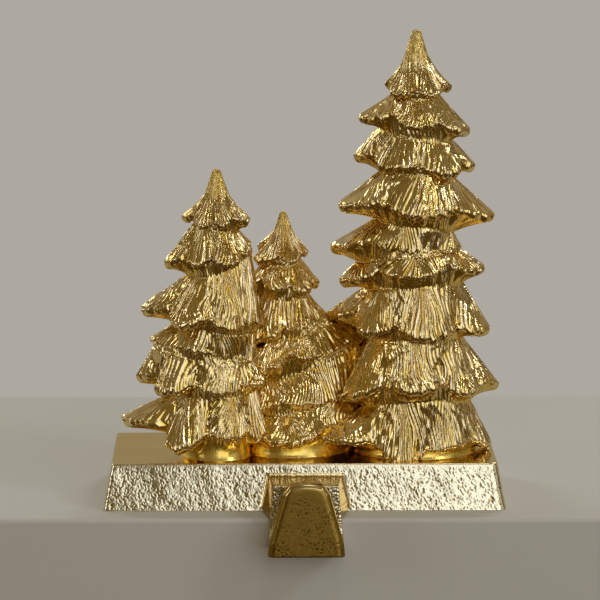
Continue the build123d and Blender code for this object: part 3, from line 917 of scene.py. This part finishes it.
def hook_mesh():
    """Shank, neck, floor and lip grown together, then roughened."""
    points = []
    faces = []
    heel = arc((NECK_BACK - HOOK_HEEL_ROUND, HOOK_BOTTOM + HOOK_HEEL_ROUND), HOOK_HEEL_ROUND, 0, -90)
    shank = [(SHANK_BACK, SHANK_UNDERSIDE), (SHANK_BACK, SHANK_TOP)]
    shank += [(NECK_FRONT, SHANK_TOP), (NECK_FRONT, SHANK_UNDERSIDE)]
    neck = [(NECK_FRONT, SHANK_TOP), (NECK_FRONT, HOOK_BOTTOM), *reversed(heel), (NECK_BACK, SHANK_TOP)]
    floor_front = LIP_BACK - FLOOR_LAP
    floor_back = NECK_FRONT + FLOOR_LAP
    floor = [(floor_front, HOOK_BOTTOM), (floor_back, HOOK_BOTTOM)]
    floor += [(floor_back, THROAT_FLOOR), (floor_front, THROAT_FLOOR)]
    for side in (shank, neck, floor):
        add_block(points, faces, side)
    for wall, side, start, end in ((NECK_FRONT, -1, 0, -90), (LIP_BACK, 1, 180, 270)):
        curve = arc((wall + side * THROAT_ROUND, THROAT_FLOOR + THROAT_ROUND), THROAT_ROUND, start, end)
        corner = (wall - side * BEND_LAP, THROAT_FLOOR - BEND_LAP)
        for upper, lower in zip(curve, curve[1:]):
            add_block(points, faces, [corner, upper, lower])
    add_loft(points, faces, lip_rings())
    add_loft(points, faces, collar_rings())
    rough = bpy.data.meshes.new("hook_blocks")
    rough.from_pydata([tuple(v * MM for v in p) for p in points], [], faces)
    holder = new_object("hook_blocks", rough)
    grown = holder.modifiers.new("grown", "REMESH")
    grown.mode = "VOXEL"
    grown.voxel_size = HOOK_VOXEL * MM
    soft = holder.modifiers.new("soft", "SMOOTH")
    soft.factor = 0.5
    soft.iterations = HOOK_SMOOTHING
    mesh = bpy.data.meshes.new_from_object(holder.evaluated_get(bpy.context.evaluated_depsgraph_get()))
    bpy.data.objects.remove(holder)
    bpy.data.meshes.remove(rough)
    roughen_hook(mesh)
    finish_hook(mesh)
    return mesh


def vectors(items, field):
    """One vector of each item, as the rows of an array."""
    values = np.empty(3 * len(items), dtype=np.float32)
    items.foreach_get(field, values)
    return values.reshape(-1, 3).astype(float)


def lip_pit(spot):
    """How deep a spot on the lip's face lies in a pit, from 0 to 1."""
    crowd = PIT_CROWD * noise.noise(spot / PIT_CLUSTER) + PIT_FADE * min(0.0, PIT_FADE_LEVEL - spot.z)
    return min(1.0, max(0.0, noise.noise(spot / PIT_PITCH) - PIT_START + crowd) * PIT_STEEPNESS)


def neck_mark(spot):
    """Height of the hammered finish on the neck's front, as a share of its depth."""
    facets = 1 - abs(noise.noise(spot / NECK_FACET_PITCH)) * NECK_FACET_SLOPE
    grain = noise.noise(spot / NECK_GRAIN_PITCH)
    return NECK_FACET_SHARE * facets + NECK_GRAIN_SHARE * grain - NECK_SUNK_SHARE


def hook_fronts(places, normals, neck_facing, lip_facing):
    """Which places are on the neck's front and which on the lip's, with normals that face far enough."""
    y = places[:, 1]
    on_neck = (y > THROAT_MIDDLE) & (y < NECK_BACK) & (normals[:, 1] < neck_facing)
    on_lip = (y < LIP_FACE) & (normals[:, 1] < lip_facing)
    return on_neck, on_lip


def roughen_hook(mesh):
    """Hammers the neck's front and pits the face of the lip, and sets ridge heights that paint shade in the
    pits and dips and a highlight on the lumps.
    """
    places = vectors(mesh.vertices, "co") / MM
    normals = vectors(mesh.vertex_normals, "vector")
    on_neck, on_lip = hook_fronts(places, normals, ROUGH_FACING, ROUGH_FACING)
    relief = np.zeros(len(places))
    for i in np.flatnonzero(on_lip):
        relief[i] = -PIT_DEPTH * lip_pit(Vector(places[i]))
    for i in np.flatnonzero(on_neck):
        relief[i] = NECK_HAMMER_DEPTH * neck_mark(Vector(places[i]))
    places = places + normals * relief[:, None]
    places[:, 2] = np.maximum(places[:, 2], HOOK_BOTTOM)
    mesh.vertices.foreach_set("co", (places * MM).astype(np.float32).ravel())
    # Painted shade: the lip's pits go darker; the neck's lumps go lighter and its dips darker, a painted
    # highlight and shade.
    lip_ridges = LIP_RIDGE + LIP_RIDGE * relief / PIT_DEPTH
    ridges = np.where(on_lip, lip_ridges, HOOK_RIDGE + relief / NECK_HAMMER_DEPTH)
    set_ridges(mesh, np.clip(ridges, 0, 1))


def finish_hook(mesh):
    """Gives the neck's front the second material, the lip's face the third and its upper edge the fourth,
    which is smoother and lighter: a painted highlight on the crown.
    """
    centres = vectors(mesh.polygons, "center") / MM
    facing = vectors(mesh.polygons, "normal")
    slots = np.zeros(len(centres))
    on_neck, on_lip = hook_fronts(centres, facing, NECK_FACING, LIP_FACING)
    slots[on_neck] = 1
    slots[on_lip] = np.where(facing[on_lip, 2] > CROWN_HIGHLIGHT_FACING, 3, 2)
    set_materials(mesh, slots)
    shade_smooth(mesh)


# Materials

TONE_INPUTS = ("Ridge", "Bright", "Deep", "Patches", "Patchiness")
GRAIN_INPUTS = ("Grains", "Smoothest", "Roughest")
COLOUR_SOCKETS = ("Bright", "Deep", "Color")
SMEAR_SCALE = 260.0
SMEAR_SPAN = (0.3, 0.7)  # values of the noise where a finish is smoothest and roughest
NEEDLE_LINES = (260.0, 0.22, 1.0)  # fine lines round a tree, and for each millimetre down it
LINE_NOISE = {"Scale": 1.0, "Detail": 2.0, "Roughness": 0.5}
MIX_COLOURS = (6, 7)  # sockets of a mix node's two colours, after those for numbers and vectors
MIX_RESULT = 2


def new_group(name, inputs, outputs):
    """A node group whose sockets carry colours or plain values, with its given and its resulting sockets."""
    group = bpy.data.node_groups.new(name, "ShaderNodeTree")
    for direction, sockets in (("INPUT", inputs), ("OUTPUT", outputs)):
        for socket in sockets:
            kind = "NodeSocketColor" if socket in COLOUR_SOCKETS else "NodeSocketFloat"
            group.interface.new_socket(name=socket, in_out=direction, socket_type=kind)
    return group, group.nodes.new("NodeGroupInput").outputs, group.nodes.new("NodeGroupOutput").inputs


def feed(tree, socket, value):
    """Links a socket to another one, or sets it to a constant."""
    if isinstance(value, bpy.types.NodeSocket):
        tree.links.new(value, socket)
    else:
        socket.default_value = value


def feed_node(tree, node, **inputs):
    for name, value in inputs.items():
        feed(tree, node.inputs[name.replace("_", " ")], value)


def add_node(tree, kind, settings=(), **inputs):
    node = tree.nodes.new(kind)
    for name, value in settings:
        setattr(node, name, value)
    feed_node(tree, node, **inputs)
    return node


def add_math(tree, operation, *values):
    node = add_node(tree, "ShaderNodeMath", [("operation", operation)])
    for socket, value in zip(node.inputs, values):
        feed(tree, socket, value)
    return node.outputs[0]


def add_mix(tree, share, *colours):
    node = add_node(tree, "ShaderNodeMix", [("data_type", "RGBA")], Factor=share)
    for index, colour in zip(MIX_COLOURS, colours):
        feed(tree, node.inputs[index], colour)
    return node.outputs[MIX_RESULT]


def add_noise(tree, **inputs):
    """Noise that stays in place on a piece."""
    spot = tree.nodes.new("ShaderNodeTexCoord").outputs["Object"]
    return add_node(tree, "ShaderNodeTexNoise", Vector=spot, **inputs).outputs["Fac"]


def add_share(tree, value, start, end, kind="LINEAR", **inputs):
    """A share that goes from 0 to 1, or between other given limits, as a value goes from start to end."""
    shape = [("interpolation_type", kind)]
    limits = {"From_Min": start, "From_Max": end, **inputs}
    return add_node(tree, "ShaderNodeMapRange", shape, Value=value, **limits).outputs["Result"]


def plating_tone_and_shade_group():
    """Colour of the plating: a painted shade in the deep colour in the grooves, a painted highlight in the
    bright colour on the ridges, and soft patches of tone.
    """
    group, given, result = new_group("plating_tone_and_shade", TONE_INPUTS, ("Color",))
    patches = add_noise(group, Scale=given["Patches"], Detail=3.0, Roughness=0.55)
    swing = add_math(group, "MULTIPLY", add_math(group, "SUBTRACT", patches, 0.5), given["Patchiness"])
    share = add_math(group, "ADD", given["Ridge"], swing)
    feed(group, result["Color"], add_mix(group, share, given["Deep"], given["Bright"]))
    return group


def casting_grain_group():
    """Fine grain of the casting under the plating: a height for a bump and a roughness."""
    group, given, result = new_group("casting_grain", GRAIN_INPUTS, ("Height", "Roughness"))
    grains = add_noise(group, Scale=given["Grains"], Detail=2.0, Roughness=0.6)
    smears = add_noise(group, Scale=SMEAR_SCALE, Detail=4.0, Roughness=0.6)
    feed(group, result["Height"], grains)
    limits = {"To_Min": given["Smoothest"], "To_Max": given["Roughest"]}
    feed(group, result["Roughness"], add_share(group, smears, *SMEAR_SPAN, **limits))
    return group


PLATING_TONE_AND_SHADE = plating_tone_and_shade_group()
CASTING_GRAIN = casting_grain_group()


def new_material(name):
    material = bpy.data.materials.new(name)
    material.use_nodes = True
    return material, material.node_tree, material.node_tree.nodes["Principled BSDF"]


def plated(name, bright, deep, edge, patches, grain, bump, fine_needles=0.0):
    """A gold plated finish, bright on ridges as a painted highlight, deep in grooves as a painted shade, and
    with its own tint at grazing angles. Given are the patches' scale and strength, the grain's scale and its
    least and most roughness, the bump's height in metres, and the share of the bump that runs along the
    needles."""
    material, tree, shader = new_material(name)
    ridge_shading = add_node(tree, "ShaderNodeAttribute", [("attribute_name", "ridge_shading")]).outputs["Fac"]
    tones = dict(zip(TONE_INPUTS, (ridge_shading, bright, deep, *patches)))
    colour = add_node(tree, "ShaderNodeGroup", [("node_tree", PLATING_TONE_AND_SHADE)], **tones)
    grains = dict(zip(GRAIN_INPUTS, grain))
    texture = add_node(tree, "ShaderNodeGroup", [("node_tree", CASTING_GRAIN)], **grains)
    height = texture.outputs["Height"]
    if fine_needles:
        spot = add_node(tree, "ShaderNodeUVMap", [("uv_map", "needles")]).outputs["UV"]
        spot = add_node(tree, "ShaderNodeMapping", Vector=spot, Scale=NEEDLE_LINES).outputs["Vector"]
        lines = add_node(tree, "ShaderNodeTexNoise", [("noise_dimensions", "2D")], Vector=spot, **LINE_NOISE)
        carved = add_math(tree, "MULTIPLY", lines.outputs["Fac"], fine_needles)
        height = add_math(tree, "ADD", add_math(tree, "MULTIPLY", height, 1 - fine_needles), carved)
    relief = add_node(tree, "ShaderNodeBump", Strength=1.0, Distance=bump, Height=height)
    feed_node(tree, shader, Metallic=1.0, Specular_Tint=edge, Base_Color=colour.outputs["Color"])
    feed_node(tree, shader, Roughness=texture.outputs["Roughness"], Normal=relief.outputs["Normal"])
    return material


NEEDLED_GOLD = plated(
    "needled_gold",
    bright=(0.91, 0.74, 0.49, 1),
    deep=(0.72, 0.49, 0.06, 1),
    edge=(0.90, 0.74, 0.45, 1),
    patches=(220.0, 0.7),
    grain=(700.0, 0.08, 0.19),
    bump=0.00015,
    fine_needles=0.75,
)
SMOOTH_GOLD = plated(
    "smooth_gold",
    bright=(0.96, 0.74, 0.26, 1),
    deep=(0.82, 0.54, 0.07, 1),
    edge=(0.95, 0.78, 0.42, 1),
    patches=(90.0, 0.8),
    grain=(500.0, 0.2, 0.38),
    bump=0.0001,
)
HAMMERED_GOLD = plated(
    "hammered_gold",
    bright=(1.0, 0.94, 0.74, 1),
    deep=(0.52, 0.42, 0.22, 1),
    edge=(0.95, 0.85, 0.62, 1),
    patches=(160.0, 0.3),
    grain=(1500.0, 0.08, 0.2),
    bump=0.00005,
)
POLISHED_GOLD = plated(
    "polished_gold",
    bright=(0.80, 0.68, 0.46, 1),
    deep=(0.62, 0.47, 0.22, 1),
    edge=(0.80, 0.68, 0.44, 1),
    patches=(60.0, 1.2),
    grain=(420.0, 0.07, 0.16),
    bump=0.00004,
)
SANDY_GOLD = plated(
    "sandy_gold",
    bright=(0.46, 0.29, 0.06, 1),
    deep=(0.10, 0.055, 0.008, 1),
    edge=(0.60, 0.44, 0.17, 1),
    patches=(500.0, 0.4),
    grain=(2600.0, 0.28, 0.42),
    bump=0.00006,
)
# Smoother finish for the lip's crown, in a lighter colour than the lip's face: a painted highlight.
CROWN_HIGHLIGHT_GOLD = plated(
    "crown_highlight_gold",
    bright=(0.66, 0.50, 0.24, 1),
    deep=(0.40, 0.26, 0.08, 1),
    edge=(0.75, 0.60, 0.34, 1),
    patches=(300.0, 0.6),
    grain=(2600.0, 0.18, 0.26),
    bump=0.00003,
)

for tree in (TALL_TREE, LEFT_TREE, SMALL_TREE):
    place(tree.name, tree_mesh(tree), NEEDLED_GOLD, SMOOTH_GOLD)
place("base_bar", bar_mesh(), HAMMERED_GOLD, POLISHED_GOLD)
place("hook", hook_mesh(), POLISHED_GOLD, HAMMERED_GOLD, SANDY_GOLD, CROWN_HIGHLIGHT_GOLD)


# Stage, in metres: a plain pale shelf, soft lights, the room's light and the camera

SHELF_FRONT = -0.0527
SHELF_BACK = 0.222
SHELF_HALF_WIDTH = 0.75
SHELF_THICK = 0.09
SHELF_ROUND = 0.002
SHELF_COLOUR = (0.72, 0.70, 0.66, 1)
SHELF_ROUGHNESS = 0.55


def shelf():
    """A pale shelf that carries the bar. The hook hangs past its front edge."""
    side = [(SHELF_BACK, 0.0), (SHELF_BACK, -SHELF_THICK), (SHELF_FRONT, -SHELF_THICK)]
    side += arc((SHELF_FRONT + SHELF_ROUND, -SHELF_ROUND), SHELF_ROUND, 180, 90)
    points = []
    faces = []
    add_loft(points, faces, [[(x, y, z) for y, z in side] for x in (-SHELF_HALF_WIDTH, SHELF_HALF_WIDTH)])
    mesh = bpy.data.meshes.new("shelf")
    mesh.from_pydata(points, [], faces)
    material, tree, shader = new_material("pale_paint")
    feed_node(tree, shader, Base_Color=SHELF_COLOUR, Roughness=SHELF_ROUGHNESS)
    mesh.materials.append(material)
    plank = new_object("shelf", mesh)


DAYLIGHT = (0.90, 0.95, 1.0)


def softbox(name, centre, aim, size, power):
    """A square soft light, in watts."""
    lamp = bpy.data.lights.new(name, "AREA")
    lamp.size = size
    lamp.energy = power
    lamp.color = DAYLIGHT
    light = new_object(name, lamp)
    light.location = centre
    light.rotation_euler = (Vector(centre) - Vector(aim)).to_track_quat("Z", "Y").to_euler()


ROOM_BACK = (0.42, 0.395, 0.355, 1)  # pale wall behind the holder
ROOM_LOW = (0.075, 0.046, 0.012, 1)  # lower part of the dim front of the room
ROOM_HIGH = (0.19, 0.145, 0.062, 1)  # upper part of it
ROOM_RISE = (-0.7, 0.8)  # upward parts of a direction between which the front goes from low to high
ROOM_AXIS = (0.0, 1.0, 0.35)  # direction from the front to the back and top
ROOM_TURN = (0.1, 0.93)  # parts of a direction along that axis between which the front turns to the back


def room():
    """Plain light from all round, paler from behind than from the front."""
    world = bpy.data.worlds.new("room")
    world.use_nodes = True
    tree = world.node_tree
    direction = tree.nodes.new("ShaderNodeTexCoord").outputs["Generated"]
    split = add_node(tree, "ShaderNodeSeparateXYZ", Vector=direction)
    along = add_node(tree, "ShaderNodeVectorMath", [("operation", "DOT_PRODUCT")])
    feed(tree, along.inputs[0], direction)
    feed(tree, along.inputs[1], ROOM_AXIS)
    rise = add_share(tree, split.outputs["Z"], *ROOM_RISE, kind="SMOOTHSTEP")
    turn = add_share(tree, along.outputs["Value"], *ROOM_TURN, kind="SMOOTHSTEP")
    front = add_mix(tree, rise, ROOM_LOW, ROOM_HIGH)
    feed(tree, tree.nodes["Background"].inputs["Color"], add_mix(tree, turn, front, ROOM_BACK))
    bpy.context.scene.world = world


CAMERA_PLACE = (-0.02722, -1.58348, 0.32847)
CAMERA_RIGHT = (0.99987131, -0.0160036, 0.0011209)
CAMERA_UP = (0.00136002, 0.1541739, 0.98804279)
FOCAL_PIXELS = 3860.07
PHOTO_PIXELS = 600
SENSOR_WIDTH = 36.0


def camera():
    lens = bpy.data.cameras.new("camera")
    lens.sensor_width = SENSOR_WIDTH
    lens.lens = FOCAL_PIXELS / PHOTO_PIXELS * SENSOR_WIDTH
    stand = new_object("camera", lens)
    right = Vector(CAMERA_RIGHT)
    up = Vector(CAMERA_UP)
    turned = Matrix((right, up, right.cross(up))).transposed().to_4x4()
    stand.matrix_world = Matrix.Translation(CAMERA_PLACE) @ turned
    bpy.context.scene.camera = stand


shelf()
room()
MIDDLE = (0.0, 0.0, 0.08)
softbox("window", (0.81, -2.0, 0.5), aim=(0.0, 0.0, 0.06), size=1.7, power=11.0)
softbox("key", (1.5, -1.0, 1.3), MIDDLE, size=0.4, power=4.4)
softbox("side", (1.7, -0.7, 0.4), MIDDLE, size=0.8, power=0.9)
softbox("top", (0.2, -0.6, 1.9), MIDDLE, size=0.4, power=2.2)
softbox("fill", (-1.6, -0.8, 0.5), MIDDLE, size=0.5, power=1.9)
softbox("back_left", (-1.2, 1.2, 0.8), MIDDLE, size=0.6, power=5.0)
softbox("back_right", (0.8, 1.5, 1.4), MIDDLE, size=0.5, power=5.0)
camera()
bpy.context.scene.view_settings.view_transform = "Standard"
